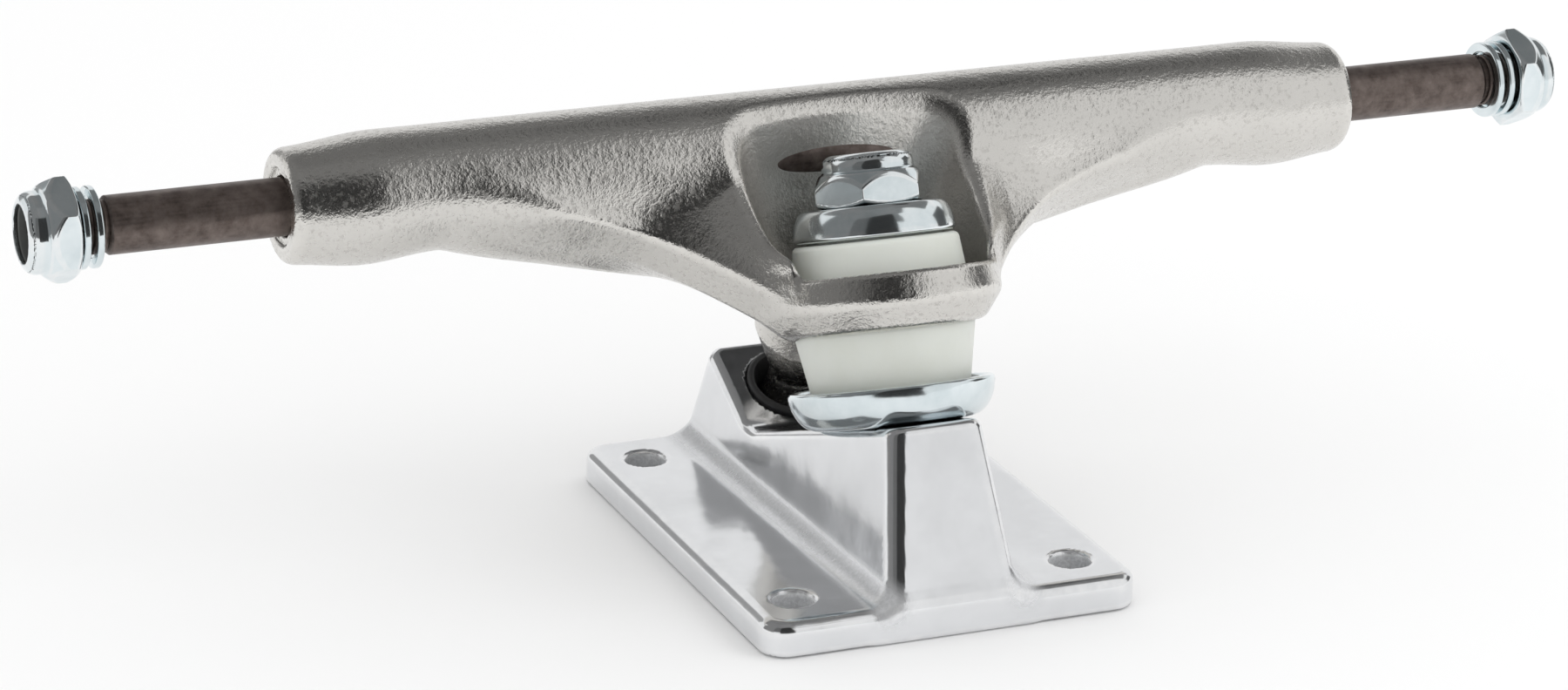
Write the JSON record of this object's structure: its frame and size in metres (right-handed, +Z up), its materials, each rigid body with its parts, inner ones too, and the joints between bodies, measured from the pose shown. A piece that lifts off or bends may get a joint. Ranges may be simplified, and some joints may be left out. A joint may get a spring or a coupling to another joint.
{
  "type": "skateboard truck",
  "caption": "Skateboard truck: a polished baseplate carries a cast hanger and its axle on a leaning kingpin with soft bushings and a pivot cup, so that it steers as it tilts.",
  "frame": {"origin": "centre of the four deck holes, on the face that meets the deck", "axes": "+X along the axle, +Y from the kingpin to the pivot, +Z up from the deck"},
  "size_m": [0.2294, 0.0712, 0.0627],
  "materials": {
    "polished_aluminium": "polished",
    "cast_aluminium": "raw casting",
    "axle_steel": "dark oxide",
    "kingpin_steel": "plain",
    "zinc_steel": "bright zinc plate",
    "bushing_urethane": "satin",
    "pivot_urethane": "satin",
    "nylon": "satin"
  },
  "bodies": {
    "base": {"baseplate": "polished_aluminium", "pivot_cup": "pivot_urethane", "kingpin": "kingpin_steel", "bottom_cup_washer": "zinc_steel", "bottom_bushing": "bushing_urethane", "top_bushing": "bushing_urethane", "top_cup_washer": "zinc_steel"},
    "hanger": {"hanger": "cast_aluminium", "axle": "axle_steel"},
    "kingpin_nut": {"kingpin_nut": "zinc_steel", "kingpin_nut_insert": "nylon"},
    "left_outer_washer": {"speed_washer_outer_left": "zinc_steel"},
    "left_axle_nut": {"axle_nut_left": "zinc_steel", "axle_nut_insert_left": "nylon"},
    "left_inner_washer": {"speed_washer_inner_left": "zinc_steel"},
    "right_outer_washer": {"speed_washer_outer_right": "zinc_steel"},
    "right_axle_nut": {"axle_nut_right": "zinc_steel", "axle_nut_insert_right": "nylon"},
    "right_inner_washer": {"speed_washer_inner_right": "zinc_steel"}
  },
  "joints": [
    {"name": "hanger_steer", "type": "hinge", "parent": "base", "child": "hanger", "pos_m": [0, 0.0237, 0.01268], "axis": [0, -0.7767, 0.6299], "range_deg": [-15, 15], "stiffness_Nm_per_rad": 30, "deforming": ["bottom_bushing", "top_bushing"]},
    {"name": "kingpin_nut_turn", "type": "hinge", "parent": "base", "child": "kingpin_nut", "pos_m": [0, -0.0129, 0.0224], "axis": [0, 0.342, 0.9397], "continuous": true},
    {"name": "left_hardware_slide", "type": "slide", "parent": "hanger", "child": "left_outer_washer", "axis": [-1, 0, 0], "range_m": [0, 0.025]},
    {"name": "left_nut_turn", "type": "hinge", "parent": "left_outer_washer", "child": "left_axle_nut", "pos_m": [-0.10792, 0.0134, 0.0536], "axis": [-1, 0, 0], "continuous": true},
    {"name": "left_washer_slide", "type": "slide", "parent": "left_outer_washer", "child": "left_inner_washer", "axis": [1, 0, 0], "range_m": [0, 0.0251]},
    {"name": "right_hardware_slide", "type": "slide", "parent": "hanger", "child": "right_outer_washer", "axis": [1, 0, 0], "range_m": [0, 0.025]},
    {"name": "right_nut_turn", "type": "hinge", "parent": "right_outer_washer", "child": "right_axle_nut", "pos_m": [0.10792, 0.0134, 0.0536], "axis": [1, 0, 0], "continuous": true},
    {"name": "right_washer_slide", "type": "slide", "parent": "right_outer_washer", "child": "right_inner_washer", "axis": [-1, 0, 0], "range_m": [0, 0.0251]}
  ]
}
